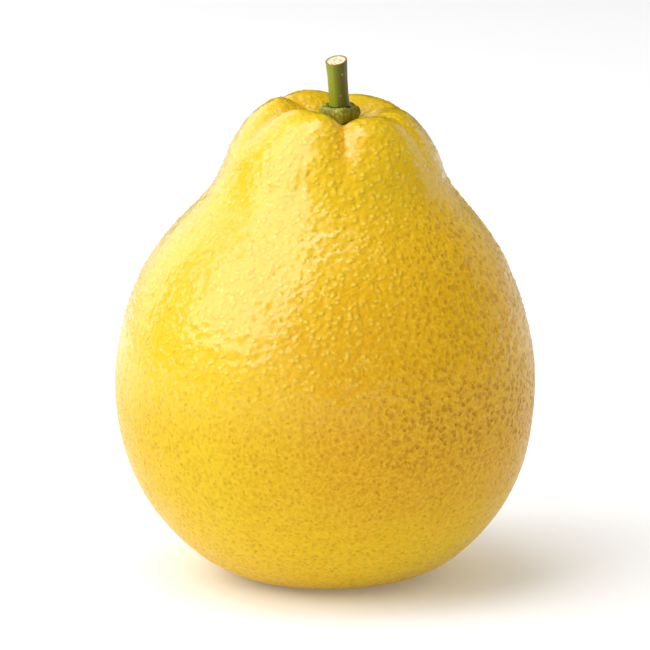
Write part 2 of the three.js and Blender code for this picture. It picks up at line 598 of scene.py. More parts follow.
@dataclass(frozen=True)
class PeelFinish:
    """Waxy golden peel: beads on the shoulder, fine pits below, and a pale net with sunk glands on one side.

    Each band is where a smooth step starts and ends: by height, or by distance towards the side that it is
    for. The beads' radius and the dimples' edge are in cells of their patterns.
    """

    gold: Colour = (0.77, 0.494, 0.002, 1)
    lemon: Colour = (0.78, 0.534, 0.004, 1)
    # amber: partly a ripe tint and partly painted shade on the side turned away from the main lights
    amber_and_shade: Colour = (0.76, 0.392, 0.002, 1)
    # painted shade: orange for the grooves and the stem cavity, where shade falls
    hollow_shade: Colour = (0.86, 0.40, 0.003, 1)
    gland: Colour = (0.86, 0.81, 0.15, 1)
    # pale bead tops: partly their own paler tone, partly painted glint
    bead_top_glint: Colour = (0.95, 0.74, 0.10, 1)
    # painted shade, multiplied into the lower body
    painted_shade: Colour = (0.84, 0.80, 0.80, 1)
    network: Colour = (0.88, 0.58, 0.020, 1)
    scar: Colour = (0.16, 0.075, 0.02, 1)
    # where the amber shows: towards the right front, partly ripe tint and partly painted shade away from the
    # main lights
    ripe_shade_azimuth: float = 318
    ripe_shade_side: Band = (5 * MM, 75 * MM)
    ripe_shade_foot: Band = (0, 70 * MM)
    ripe_shade_top: Band = (90 * MM, 200 * MM)
    netted_azimuth: float = 350
    netted_side: Band = (18 * MM, 56 * MM)
    netted_foot: Band = (46 * MM, 80 * MM)
    netted_top: Band = (140 * MM, 164 * MM)
    low_top: Band = (64 * MM, 104 * MM)
    crest: Band = (172 * MM, 184 * MM)
    painted_shade_top: Band = (0, 45 * MM)
    lemon_size: float = 38 * MM
    ripe_shade_size: float = 26 * MM
    mottle_size: float = 1.2 * MM
    scar_radius: float = 2.6 * MM
    scar_wobble: float = 1.2 * MM
    scar_top: Band = (12 * MM, 6 * MM)
    grain_size: float = 0.55 * MM
    grain_height: float = 0.012 * MM
    pebble_size: float = 1.7 * MM
    pebble_height: float = 0.14 * MM
    mouth_depth: float = 0.14 * MM
    slant_angles: Triple = (0, 25, 0)
    slant_scale: Triple = (0.88, 0.88, 1.08)
    cobble_size: float = 2.5 * MM
    cobble_height: float = 0.36 * MM
    cobble_softness: float = 0.35
    cobble_slope: float = 1.4
    bead_size: float = 2.65 * MM
    bead_radius: float = 0.52
    bead_roundness: float = 1.8
    bead_height: float = 0.44 * MM
    dimple_size: float = 2.5 * MM
    dimple_edge: Band = (0.12, 0.54)
    dimple_depth: float = 0.46 * MM
    ridge_angles: Triple = (0, 28, 0)
    ridge_scale: Triple = (0.4, 0.4, 1.2)
    ridge_foot: Band = (50 * MM, 85 * MM)
    ridge_top: Band = (125 * MM, 150 * MM)
    ridge_size: float = 2.4 * MM
    ridge_height: float = 0.34 * MM

    def material(self) -> bpy.types.Material:
        """Make the peel's material.

        Returns:
            The material.
        """
        material, graph, shader = start_material("pomelo peel")
        place = graph.add("ShaderNodeTexCoord", output="Object")
        marks = self.marks(graph, place)
        set_shader(graph, shader, {
            "Base Color": self.colour(graph, place, marks),
            "Roughness": 0.27 + graph.noise(place, 5 * MM) * 0.08 + marks.scar * 0.35 + marks.sunk * 0.10,
            "Normal": graph.bump(self.relief(graph, place, marks)),
            "IOR": 1.48,
            "Specular IOR Level": 0.12,
            "Subsurface Weight": 0.12,
            "Subsurface Radius": (1.0, 0.45, 0.08),
            "Subsurface Scale": 1.6 * MM,
            "Coat Weight": 1 - marks.low * 0.88 - marks.netted * 0.58 * (1 - marks.low),
            "Coat Roughness": 0.21,
            "Coat IOR": 1.66,
        })
        return material

    def side(self, graph: Graph, place: Wire, azimuth: float) -> Wire:
        """Distance from the axis towards an azimuth in degrees."""
        return graph.part(graph.stretched(place, (0, 0, -azimuth)), "X")

    def marks(self, graph: Graph, place: Wire) -> PeelMarks:
        """Spread the marks over the peel.

        Args:
            graph: The material's graph.
            place: Object coordinates.

        Returns:
            The marks.
        """
        height = graph.part(place, "Z")
        low = 1 - height.step(*self.low_top)
        netted = self.side(graph, place, self.netted_azimuth).step(*self.netted_side)
        netted = netted * (1 - height.step(*self.netted_top) * 0.7) * height.step(*self.netted_foot)
        beaded = (1 - low) * (1 - netted * 0.85) * (1 - height.step(*self.crest) * 0.4)

        slant = graph.stretched(place, self.slant_angles, self.slant_scale)
        from_middle = self.cells(graph, self.warped(graph, slant, 3 * MM, 1.5 * MM), self.bead_size)
        bead = (1 - (from_middle / self.bead_radius) ** 2.0).at_least(0.0) ** self.bead_roundness
        warped = self.warped(graph, place, 1.6 * MM, 1.6 * MM)
        dimple = 1 - self.cells(graph, warped, self.dimple_size).step(*self.dimple_edge)
        mouth = graph.attribute("pit").step(0.0, 1.0)
        sunk = mouth * (low * 0.45 + 0.25) + dimple * (low * 0.55 + netted * 0.75)

        flat = graph.vector("MULTIPLY", place, (1, 1, 0))
        from_axis = graph.add("ShaderNodeVectorMath", {"operation": "LENGTH"}, {0: flat}, "Value")
        from_axis = from_axis + graph.noise(place, 1.6 * MM) * self.scar_wobble
        scar = 1 - from_axis.step(self.scar_radius * 0.7, self.scar_radius * 1.25)
        return PeelMarks(
            low, netted, beaded, bead, self.cobbles(graph, slant), dimple, mouth, sunk.at_most(1.0),
            scar * height.step(*self.scar_top),
        )

    def colour(self, graph: Graph, place: Wire, marks: PeelMarks) -> Wire:
        """Colour the peel.

        Args:
            graph: The material's graph.
            place: Object coordinates.
            marks: The marks.

        Returns:
            The colour.
        """
        height = graph.part(place, "Z")
        drift = graph.noise(place, self.lemon_size, 3.0)
        colour = graph.mix(drift.step(0.42, 0.66), self.gold, self.lemon)
        # partly a ripe tint, partly painted shade: the side turned away from the main lights is painted more
        # orange
        ripe_and_shade = self.side(graph, place, self.ripe_shade_azimuth).step(*self.ripe_shade_side)
        ripe_and_shade = ripe_and_shade * (1 - height.step(*self.ripe_shade_top) * 0.5) * height.step(*self.ripe_shade_foot)
        ripe_and_shade = ripe_and_shade * 0.9 + graph.noise(place, self.ripe_shade_size) * 0.5 - 0.2
        colour = graph.mix(ripe_and_shade.step(0.1, 0.9), colour, self.amber_and_shade)
        # painted shade: the grooves and the stem cavity are tinted orange by how deep they lie
        colour = graph.mix(graph.attribute("hollow_shade") * 0.7, colour, self.hollow_shade)

        mottle = graph.noise(place, self.mottle_size, 2.0, 0.6)
        # the pale net: mottled at random between the pits; on the knobs, beads and cobbles its paler tops are
        # partly painted glint
        pale_net_and_glint = graph.attribute("knob") * 0.1
        pale_net_and_glint = pale_net_and_glint + (marks.bead * 0.2 + marks.cobble.step(0.3, 1.0) * 0.3) * marks.beaded
        pale_net_and_glint = pale_net_and_glint + (1 - marks.sunk) * (1 - marks.beaded * 0.7) * mottle.step(0.38, 0.66) * 0.7
        colour = graph.mix(pale_net_and_glint.at_most(1.0), colour, self.network)
        # painted glint: the bead tops are paler still
        colour = graph.mix(marks.bead.step(0.2, 1.0) * marks.beaded * 0.5, colour, self.bead_top_glint)
        colour = graph.mix(marks.sunk, colour, self.gland, "MULTIPLY")
        # painted shade: the lower body is darkened, from nothing at the very bottom to full above 45 mm,
        # fading out between 64 and 104 mm
        colour = graph.mix(marks.low * height.step(*self.painted_shade_top) * 0.65, colour, self.painted_shade, "MULTIPLY")
        return graph.mix(marks.scar, colour, self.scar)

    def relief(self, graph: Graph, place: Wire, marks: PeelMarks) -> Wire:
        """Raise the beads, cobbles and ridges, and sink the glands.

        Args:
            graph: The material's graph.
            place: Object coordinates.
            marks: The marks.

        Returns:
            The height of the fine relief, in metres.
        """
        height = graph.part(place, "Z")
        fine = graph.noise(place, self.grain_size, 3.0, 0.6) * self.grain_height
        fine = fine + graph.noise(place, self.pebble_size) * self.pebble_height
        fine = fine + (marks.bead * self.bead_height + marks.cobble * self.cobble_height) * marks.beaded
        fine = fine - marks.dimple * (marks.netted + marks.low * 0.35) * self.dimple_depth
        fine = fine - marks.mouth * self.mouth_depth
        slanted = graph.stretched(place, self.ridge_angles, self.ridge_scale)
        ridges = graph.noise(slanted, self.ridge_size, 1.0)
        ridged = height.step(*self.ridge_foot) * (1 - height.step(*self.ridge_top)) * (1 - marks.netted)
        return fine + ridges * ridged * self.ridge_height

    def warped(self, graph: Graph, place: Wire, size: float, reach: float) -> Wire:
        """Push a place about.

        Args:
            graph: The material's graph.
            place: Coordinates.
            size: Width of the lumps of the noise that pushes it.
            reach: How far it is pushed.

        Returns:
            The new coordinates.
        """
        push = graph.add("ShaderNodeTexNoise", None, {"Vector": place, "Scale": 1 / size}, "Color")
        return graph.vector("ADD", place, graph.scaled(push, reach))

    def cells(self, graph: Graph, place: Wire, size: float) -> Wire:
        """Distance to the nearest point of a Voronoi pattern, in cells of a size."""
        values = {"Vector": place, "Scale": 1 / size}
        return graph.add("ShaderNodeTexVoronoi", {"feature": "F1"}, values, "Distance")

    def cobbles(self, graph: Graph, place: Wire) -> Wire:
        """Height of a pattern of rounded cobbles, from about 0 between them to 1."""
        values = {"Vector": place, "Scale": 1 / self.cobble_size, "Smoothness": self.cobble_softness}
        settings = {"feature": "SMOOTH_F1"}
        return 1 - graph.add("ShaderNodeTexVoronoi", settings, values, "Distance") * self.cobble_slope


@dataclass(frozen=True)
class CalyxFinish:
    """Olive green calyx skin with painted pale highlight streaks and painted shade in its creases.

    Towards +X, away from the main lights, the calyx gets browner and its painted highlights fade, over each
    band of X: painted shade.
    """

    green: Colour = (0.20, 0.20, 0.004, 1)
    # painted highlight; the warts take this pale colour too
    pale_glint_and_wart: Colour = (0.46, 0.46, 0.05, 1)
    # painted shade on the side away from the lights
    shade_brown: Colour = (0.13, 0.10, 0.010, 1)
    # painted shade
    crease_shade: Colour = (0.05, 0.04, 0.006, 1)
    mottle_size: float = 1.3 * MM
    grain_size: float = 0.8 * MM
    grain_height: float = 0.20 * MM
    shade_side: Band = (5 * MM, 13 * MM)
    glint_side: Band = (3 * MM, 13 * MM)

    def material(self) -> bpy.types.Material:
        """Make the calyx's material.

        Returns:
            The material.
        """
        material, graph, shader = start_material("pomelo calyx")
        place = graph.add("ShaderNodeTexCoord", output="Object")
        crease_shade = graph.attribute("crease_shade")
        streak = graph.attribute("streak")
        wart = graph.attribute("wart")
        mottle = graph.noise(place, self.mottle_size, 3.0, 0.6)
        across = graph.part(place, "X")
        # painted shade: browner towards +X, away from the lights
        colour = graph.mix(across.step(*self.shade_side) * 0.7, self.green, self.shade_brown)
        # painted highlight: pale mottled streaks, fading towards +X
        pale_glint_and_wart = (mottle * 0.8 + streak * 0.2).step(0.42, 0.72) * (1 - across.step(*self.glint_side) * 0.6)
        colour = graph.mix(pale_glint_and_wart, colour, self.pale_glint_and_wart)
        colour = graph.mix(wart * 0.5, colour, self.pale_glint_and_wart)
        # painted shade in the creases, under the calyx and in its socket
        colour = graph.mix(crease_shade.step(0.1, 0.9), colour, self.crease_shade)
        set_shader(graph, shader, {
            "Base Color": colour,
            "Roughness": 0.26 + mottle * 0.2,
            "Normal": graph.bump(graph.noise(place, self.grain_size, 3.0) * self.grain_height),
            "Subsurface Weight": 0.05,
            "Subsurface Scale": 0.8 * MM,
            "Specular IOR Level": 0.4,
            "Coat Weight": 0.15,
            "Coat Roughness": 0.12,
        })
        return material


@dataclass(frozen=True)
class StalkFinish:
    """Green bark with pale lenticels, painted light on the side towards the lights, a painted grey-brown
    sheen on the far side and painted shade at its foot, and cream wood with a brown rim where it was cut.
    """

    bark: Colour = (0.110, 0.105, 0.001, 1)
    # painted light on the side towards the lights
    lit_bark: Colour = (0.26, 0.30, 0.003, 1)
    # painted sheen on the far side
    sheen_bark: Colour = (0.20, 0.16, 0.050, 1)
    lenticel: Colour = (0.42, 0.38, 0.14, 1)
    wood: Colour = (0.88, 0.77, 0.54, 1)
    fibre: Colour = (0.55, 0.35, 0.14, 1)
    rim: Colour = (0.30, 0.15, 0.04, 1)
    # painted shade at the foot
    crease_shade: Colour = (0.035, 0.03, 0.005, 1)
    grain_run: Triple = (1, 1, 0.10)
    streak_size: float = 0.9 * MM
    stain_size: float = 0.8 * MM
    grain_height: float = 0.02 * MM
    speck_height: float = 0.012 * MM

    def material(self) -> bpy.types.Material:
        """Make the stalk's material.

        Returns:
            The material.
        """
        material, graph, shader = start_material("pomelo stalk")
        place = graph.add("ShaderNodeTexCoord", output="Object")
        cut = graph.attribute("cut")
        rim = graph.attribute("rim")
        fibre = graph.attribute("fibre")
        foot = graph.attribute("foot")
        wart = graph.attribute("wart")
        long = graph.vector("MULTIPLY", place, self.grain_run)
        streaks = graph.noise(long, self.streak_size, 3.0, 0.6)
        # painted light: brighter bark towards the lights, and a greyer brown painted sheen on the far side
        lit_side = graph.attribute("lit_side") + streaks * 0.16 - 0.08
        bark = graph.mix(lit_side.step(0.50, 0.98), self.bark, self.lit_bark)
        bark = graph.mix((1 - lit_side.step(0.02, 0.35)) * 0.8, bark, self.sheen_bark)
        bark = graph.mix(wart * 0.85, bark, self.lenticel)
        # painted shade at the foot, where the stalk enters the calyx
        bark = graph.mix(foot, bark, self.crease_shade)
        wood = graph.mix(fibre.step(0.35, 0.9), self.wood, self.fibre)
        stain = (rim * 1.1 + (graph.noise(place, self.stain_size, 3.0) - 0.5) * 0.9 * rim).step(0.25, 0.85)
        wood = graph.mix(stain, wood, self.rim)
        fine = graph.noise(long, 0.3 * MM) * self.grain_height
        fine = fine + graph.noise(place, 0.2 * MM) * self.speck_height
        set_shader(graph, shader, {
            "Base Color": graph.mix(cut, bark, wood),
            "Roughness": 0.42 + cut * 0.4 + wart * 0.15,
            "Specular IOR Level": 0.3,
            "Normal": graph.bump(fine),
            "Coat Weight": 0.1 * (1 - cut),
            "Coat Roughness": 0.25,
        })
        return material


@dataclass(frozen=True)
class FloorFinish:
    """Matt white studio floor."""

    white: Colour = (0.90, 0.90, 0.90, 1)
    glow: float = 0.14

    def material(self) -> bpy.types.Material:
        """Make the floor's material.

        Returns:
            The material.
        """
        material, graph, shader = start_material("studio floor")
        set_shader(graph, shader, {
            "Base Color": self.white,
            "Roughness": 0.9,
            "Specular IOR Level": 0.1,
            "Emission Color": self.white,
            "Emission Strength": self.glow,
        })
        return material


# The fruit


@dataclass(frozen=True)
class Meridian:
    """A table along the outline that flattens the skin without changing small shapes.

    Each point of the skin has a place in a plane: its azimuth, and a distance from the middle that
    depends only on its station. The base pole is the middle of the plane.
    """

    t: Array
    radius: Array
    height: Array
    step: Array
    log_distance: Array

    @classmethod
    def of(cls, form: SkinForm, end_radius: float, samples: int = 8000) -> "Meridian":
        """Make the table.

        Args:
            form: The form of the fruit.
            end_radius: Radius in the stem cavity where the table ends, in metres.
            samples: Number of rows.

        Returns:
            The table, in metres.
        """
        end = float(form.cavity_t(np.array([end_radius]))[0])
        t = np.linspace(0, end, samples)
        radius, height, _, _ = (part * MM for part in form.station(t))
        step = np.hypot(np.gradient(radius), np.gradient(height))
        pace = step[1:] / np.maximum(radius[1:], 1e-9)
        grown = np.concatenate([[0], np.cumsum((pace[1:] + pace[:-1]) / 2)])
        log_distance = np.concatenate([[-50], np.log(radius[1]) + grown])
        return cls(t, radius, height, step, log_distance)

    def to_plane(self, t: Array, azimuth: Array) -> Array:
        """Places in the plane of skin points."""
        distance = np.exp(np.interp(t, self.t, self.log_distance))
        return np.stack([distance * np.cos(azimuth), distance * np.sin(azimuth)], -1)

    def from_plane(self, spots: Array) -> tuple[Array, Array]:
        """Places along the outline and azimuths of places in the plane."""
        distance = np.hypot(spots[:, 0], spots[:, 1])
        return self.t_at(distance), np.arctan2(spots[:, 1], spots[:, 0])

    def t_at(self, distance: Array) -> Array:
        """Places along the outline for distances in the plane."""
        return np.interp(np.log(np.maximum(distance, 1e-15)), self.log_distance, self.t)

    def shrink(self, t: Array) -> Array:
        """Length on the skin for each unit of length in the plane."""
        near = np.maximum(t, self.t[3])
        return np.interp(near, self.t, self.radius) / np.exp(np.interp(near, self.t, self.log_distance))


@dataclass(frozen=True)
class GlandLattice:
    """Oil glands spread over the skin, each a middle point in a ring of points round its mouth.

    Where the peel is knobbly some of them are raised knobs instead of pits.
    """

    form: SkinForm
    count: int = 13900
    low_spacing: float = 2.35 * MM
    high_spacing: float = 2.60 * MM
    neck_spacing: float = 2.85 * MM
    high_rise: Band = (55 * MM, 115 * MM)
    neck_rise: Band = (140 * MM, 165 * MM)
    knob_rise: Band = (66 * MM, 116 * MM)
    ring_points: int = 6
    mouth: float = 0.33
    mouth_spread: float = 0.26
    largest_mouth: float = 0.44
    stretch: float = 0.42
    knob_share: float = 0.68
    knob_ring: float = 0.30
    ridge_rise: float = 28
    ridge_size: Triple = (7.0 * MM, 5.0 * MM, 3.2 * MM)
    first_jitter: float = 0.30
    jitter: float = 0.13
    relax_rounds: int = 3
    relax_pull: float = 0.65
    hollow_depth: float = 5.0 * MM
    seat_radius: float = 2.6 * MM
    seat_points: int = 18
    seed: int = 11

    def spacing(self, height: Array) -> Array:
        """Space the glands.

        Args:
            height: Heights, in metres.

        Returns:
            The distance between neighbouring glands at each height.
        """
        rise = ramp(height, *self.high_rise)
        neck = ramp(height, *self.neck_rise)
        body = self.low_spacing + (self.high_spacing - self.low_spacing) * rise
        return body + (self.neck_spacing - self.high_spacing) * neck

    def sites(self, table: Meridian, random: np.random.Generator) -> tuple[Array, Array]:
        """Spread the glands and even them out.

        Args:
            table: The skin's table.
            random: Source of the glands' small shifts.

        Returns:
            Their places in the plane, and the spacing round each in metres.
        """
        cell = self.spacing(table.height) ** 2 * math.sqrt(3) / 2
        tally = np.cumsum(2 * np.pi * table.radius * table.step / cell)
        tighten = math.sqrt(tally[-1] / self.count)
        share = (np.arange(self.count) + 0.5) / self.count
        t = np.interp(share, tally / tally[-1], table.t)
        spots = table.to_plane(t, np.arange(self.count) * GOLDEN_ANGLE)
        inside = np.exp(table.log_distance[-1]) * 0.72
        spots = spots[np.hypot(spots[:, 0], spots[:, 1]) < inside]
        for turn in range(self.relax_rounds + 1):
            t = table.from_plane(spots)[0]
            gap = self.spacing(np.interp(t, table.t, table.height)) * tighten
            if 0 < turn < self.relax_rounds:
                spots = self.relaxed(spots, table)
            else:
                shift = random.normal(0, self.jitter if turn else self.first_jitter, spots.shape)
                spots = spots + shift * (gap / table.shrink(t))[:, None]
        t = table.from_plane(spots)[0]
        return spots, self.spacing(np.interp(t, table.t, table.height)) * tighten

    def clumps(self, table: Meridian, spots: Array, random: np.random.Generator) -> Array:
        """Give each gland a number that is alike along short rising ridges of the skin.

        Args:
            table: The skin's table.
            spots: The glands' places in the plane.
            random: Source of what differs from gland to gland.

        Returns:
            The numbers, from 0 to 1.
        """
        points = self.form.place(*table.from_plane(spots))
        turn = math.radians(self.ridge_rise)
        along = points[:, 0] * math.cos(turn) + points[:, 2] * math.sin(turn)
        across = points[:, 2] * math.cos(turn) - points[:, 0] * math.sin(turn)
        ridges = noise_at(np.column_stack([along, points[:, 1], across]), self.ridge_size, self.seed)
        mixed = ridges + random.normal(0, 0.40, len(spots))
        return np.argsort(np.argsort(-mixed)) / len(spots)

    def seat(self, table: Meridian) -> Array:
        """A ring of points in the plane, under the calyx, where the lattice ends."""
        azimuth = np.linspace(0, 2 * np.pi, self.seat_points, endpoint=False)
        return table.to_plane(np.full_like(azimuth, table.t[-1]), azimuth)

    def relaxed(self, spots: Array, table: Meridian) -> Array:
        """Even the glands out.

        Args:
            spots: Their places in the plane.
            table: The skin's table.

        Returns:
            Each place, moved towards the middle of its neighbours.
        """
        everything = np.vstack([spots, self.seat(table)])
        faces = np.array(flat_triangles(everything))
        total = np.zeros_like(everything)
        number = np.zeros(len(everything))
        for near, far in ((0, 1), (1, 2), (2, 0)):
            np.add.at(total, faces[:, near], everything[faces[:, far]])
            np.add.at(number, faces[:, near], 1)
        middles = (total / number[:, None])[:len(spots)]
        return spots * (1 - self.relax_pull) + self.relax_pull * middles

    def rings(self, spots: Array, reach: Array, random: np.random.Generator) -> Array:
        """Put a ring of points round each gland.

        Args:
            spots: The glands' places in the plane.
            reach: The rings' mean radii in the plane.
            random: Source of each ring's lean, length and turn.

        Returns:
            The points in the plane, ring after ring.
        """
        lean = random.uniform(0, np.pi, len(spots))[:, None]
        longer = np.exp(np.abs(random.normal(0, self.stretch, len(spots))) / 2)[:, None]
        ring = np.arange(self.ring_points) / self.ring_points * 2 * np.pi
        turns = ring + random.uniform(0, 1, len(spots))[:, None]
        along = np.cos(turns) * longer
        across = np.sin(turns) / longer
        x = spots[:, :1] + reach[:, None] * (along * np.cos(lean) - across * np.sin(lean))
        y = spots[:, 1:] + reach[:, None] * (along * np.sin(lean) + across * np.cos(lean))
        return np.stack([x, y], -1).reshape(-1, 2)

    def mesh(self) -> bpy.types.Mesh:
        """Make the skin's mesh.

        Returns:
            The mesh, with how deep a pit and how high a knob each point is, and how deep it lies in a groove
            or the stem cavity, which sets the peel's painted orange shade there.
        """
        random = np.random.default_rng(self.seed)
        table = Meridian.of(self.form, self.seat_radius)
        spots, gap = self.sites(table, random)
        number = len(spots)
        height = np.interp(table.from_plane(spots)[0], table.t, table.height)
        knobbly = ramp(height, *self.knob_rise) * self.knob_share
        is_knob = self.clumps(table, spots, random) < knobbly
        share = self.mouth * np.exp(random.normal(0, self.mouth_spread, number))
        share = np.where(is_knob, self.knob_ring * random.uniform(0.85, 1.1, number), share)
        share = np.minimum(share, self.largest_mouth)
        strength = np.clip(random.normal(1, 0.32, number), 0.25, 1.7) * share / self.mouth
        strength = np.where(is_knob, random.uniform(0.35, 1.25, number), strength)

        reach = share * gap / table.shrink(table.from_plane(spots)[0])
        rings = self.rings(spots, reach, random)
        plane = np.vstack([spots, rings, self.seat(table)])
        faces = flat_triangles(plane)
        t, azimuth = table.from_plane(plane)
        points = np.vstack([self.form.place(t, azimuth), self.form.cavity_pole()])
        pole = len(points) - 1
        first = pole - self.seat_points
        seat = [(first + k, first + (k + 1) % self.seat_points, pole) for k in range(self.seat_points)]
        outward = [(a, c, b) for a, b, c in faces] + [(a, c, b) for a, b, c in seat]

        rest = np.zeros(self.seat_points + 1)
        pit = np.where(is_knob, 0, strength)
        knob = np.where(is_knob, strength, 0)
        pits = np.concatenate([pit, np.zeros(len(rings)), rest])
        knobs = np.concatenate([knob, np.repeat(knob * 0.20, self.ring_points), rest])
        LOG.info("%d glands, %d of them knobs", number, int(is_knob.sum()))
        smoothed = replace(self.form, grooves=()).place(t, azimuth)
        # how deep each point lies in a groove or the cavity, for the peel's painted orange shade
        hollow_shade = np.linalg.norm(points[:-1] - smoothed, axis=1) / self.hollow_depth
        crest = self.form.crest()[0]
        inside = ramp(t, crest + 0.03, crest + 0.08) * 0.15
        hollow_shade_mask = np.append(np.minimum(smooth(hollow_shade) + inside, 1), 1.0)
        return mesh_from("peel lattice", points, outward, {"pit": pits, "knob": knobs, "hollow_shade": hollow_shade_mask})


def flat_triangles(spots: Array) -> list[list[int]]:
    """Join places in a plane by Delaunay triangles.

    Args:
        spots: The places, one row each.

    Returns:
        The triangles, anticlockwise.
    """
    made = delaunay_2d_cdt([Vector(spot) for spot in spots.tolist()], [], [], 0, 1e-9, False)
    if len(made[0]) != len(spots):
        LOG.warning("the triangles join %d points of %d", len(made[0]), len(spots))
    return made[2]


@dataclass(frozen=True)
class Fruit:
    """The fruit: the smooth form, its glands, and the relief of its peel."""

    form: SkinForm
    finish: PeelFinish = field(default_factory=PeelFinish)
    pit_depth: float = 0.16 * MM
    knob_height: float = 0.36 * MM
    pebble_height: float = 0.26 * MM
    pebble_size: float = 2.0 * MM
    ridge_height: float = 0.30 * MM
    ridge_size: float = 2.8 * MM
    swell_height: float = 0.9 * MM
    swell_size: float = 26 * MM
    scar_depth: float = 0.35 * MM
    scar_edge: Band = (1.2 * MM, 3.2 * MM)
    scar_top: Band = (4 * MM, 8 * MM)
    knobbly_rise: Band = (45 * MM, 115 * MM)
    calm_rise: Band = (150 * MM, 178 * MM)
    patch_size: float = 24 * MM
    slant_angles: Triple = (0, 25, 0)
    slant_scale: Triple = (0.45, 0.45, 1.25)
    standing_height: float = 6 * MM
    seed: int = 4

    def relief(self) -> ReliefTree:
        """Make the tree that lifts the peel's pebbles, ridges and knobs, and sinks its glands.

        Returns:
            The tree.
        """
        inputs = inputs_from(
            self, "pit_depth", "knob_height", "pebble_height", "pebble_size", "ridge_height", "ridge_size",
            "swell_height", "swell_size", "scar_depth", "seed",
        )
        tree = ReliefTree("peel relief", {**inputs, "Material": self.finish.material()})
        graph = tree.graph
        place = graph.add("GeometryNodeInputPosition")
        normal = graph.add("GeometryNodeInputNormal")
        height = graph.part(place, "Z")
        seed = tree.given("Seed")

        def lumps(size: Number, offset: float, where: Wire = place) -> Wire:
            """Noise about 0, with lumps of a size."""
            values = {"Vector": where, "W": seed + offset, "Scale": 1 / size, "Detail": 1.0}
            return graph.add("ShaderNodeTexNoise", {"noise_dimensions": "4D"}, values) - 0.5

        knobbly = height.step(*self.knobbly_rise) * 0.7 + 0.3
        patchy = (lumps(self.patch_size, 31.0) + 0.5).step(0.35, 0.62) * 0.6 + 0.4
        pebbles = lumps(tree.given("Pebble Size"), 0.0) * tree.given("Pebble Height") * 2
        slant = graph.stretched(place, self.slant_angles, self.slant_scale)
        ridges = lumps(tree.given("Ridge Size"), 7.0, slant) * tree.given("Ridge Height") * 2
        calmer = 1 - height.step(*self.calm_rise) * 0.30
        lifted = tree.attribute("knob") * tree.given("Knob Height") * calmer
        relief = (pebbles + ridges * patchy) * knobbly + lifted * (patchy * 0.6 + 0.4)
        relief = relief - tree.attribute("pit") * tree.given("Pit Depth")
        relief = relief + lumps(tree.given("Swell Size"), 13.0) * tree.given("Swell Height")
        from_axis = (graph.part(place, "X") ** 2.0 + graph.part(place, "Y") ** 2.0) ** 0.5
        standing = (height / self.standing_height).at_most(1.0) * 0.8 + 0.2
        scar = (1 - from_axis.step(*self.scar_edge)) * (1 - height.step(*self.scar_top))
        relief = relief * standing - scar * tree.given("Scar Depth")

        moved = graph.vector("ADD", place, graph.scaled(normal, relief))
        values = {"X": graph.part(moved, "X"), "Y": graph.part(moved, "Y")}
        values["Z"] = graph.part(moved, "Z").at_least(0.0)
        above = graph.add("ShaderNodeCombineXYZ", None, values)
        values = {"Geometry": tree.given("Geometry"), "Position": above}
        tree.close(graph.add("GeometryNodeSetPosition", None, values))
        return tree

    def build(self) -> None:
        """Build the fruit and put it in place of its CAD node."""
        fruit = self.relief().run(GlandLattice(self.form).mesh(), "fruit_peel")
        finish_piece(fruit, "fruit")


# The calyx and the stalk


@dataclass(frozen=True)
class WartScatter:
    """Small raised dots scattered over a mesh."""

    name: str
    density: float
    smallest: float
    largest: float
    flatness: float
    gap: float
    seed: int

    def run(
        self, base: bpy.types.Mesh, mask: str, material: bpy.types.Material, name: str
    ) -> bpy.types.Object:
        """Scatter the dots.

        Args:
            base: The mesh that they stand on.
            mask: The attribute that is 0 where they may stand.
            material: The finish of the mesh and the dots.
            name: The name of the piece.

        Returns:
            The piece.
        """
        inputs = inputs_from(self, "density", "smallest", "largest", "flatness", "gap", "seed")
        tree = ReliefTree(self.name, {**inputs, "Material": material})
        graph = tree.graph
        settings = {"data_type": "FLOAT", "operation": "LESS_THAN"}
        bare = graph.add("FunctionNodeCompare", settings, {0: tree.attribute(mask), 1: 0.05})
        scatter = graph.tree.nodes.new("GeometryNodeDistributePointsOnFaces")
        scatter.distribute_method = "POISSON"
        links = {
            "Mesh": tree.given("Geometry"), "Selection": bare, "Distance Min": tree.given("Gap"),
            "Density Max": tree.given("Density"), "Seed": tree.given("Seed"),
        }
        for label, wire in links.items():
            graph.tree.links.new(wire.socket, scatter.inputs[label])
        dot = graph.add("GeometryNodeMeshIcoSphere", None, {"Radius": 1.0, "Subdivisions": 2})
        dot = graph.add("GeometryNodeSetShadeSmooth", None, {"Geometry": dot})
        values = {"Geometry": dot, "Name": "wart", "Value": 1.0}
        dot = graph.add("GeometryNodeStoreNamedAttribute", {"data_type": "FLOAT", "domain": "POINT"}, values)
        values = {2: tree.given("Smallest"), 3: tree.given("Largest"), 8: tree.given("Seed")}
        size = graph.add("FunctionNodeRandomValue", {"data_type": "FLOAT"}, values, 1)
        values = {"X": size, "Y": size, "Z": size * tree.given("Flatness")}
        scale = graph.add("ShaderNodeCombineXYZ", None, values)
        placed = graph.add("GeometryNodeInstanceOnPoints", None, {
            "Points": Wire(graph, scatter.outputs["Points"]),
            "Instance": dot,
            "Rotation": Wire(graph, scatter.outputs["Rotation"]),
            "Scale": scale,
        })
        joined = graph.tree.nodes.new("GeometryNodeJoinGeometry")
        graph.tree.links.new(placed.socket, joined.inputs[0])
        graph.tree.links.new(tree.given("Geometry").socket, joined.inputs[0])
        tree.close(Wire(graph, joined.outputs[0]))
        return tree.run(base, name)


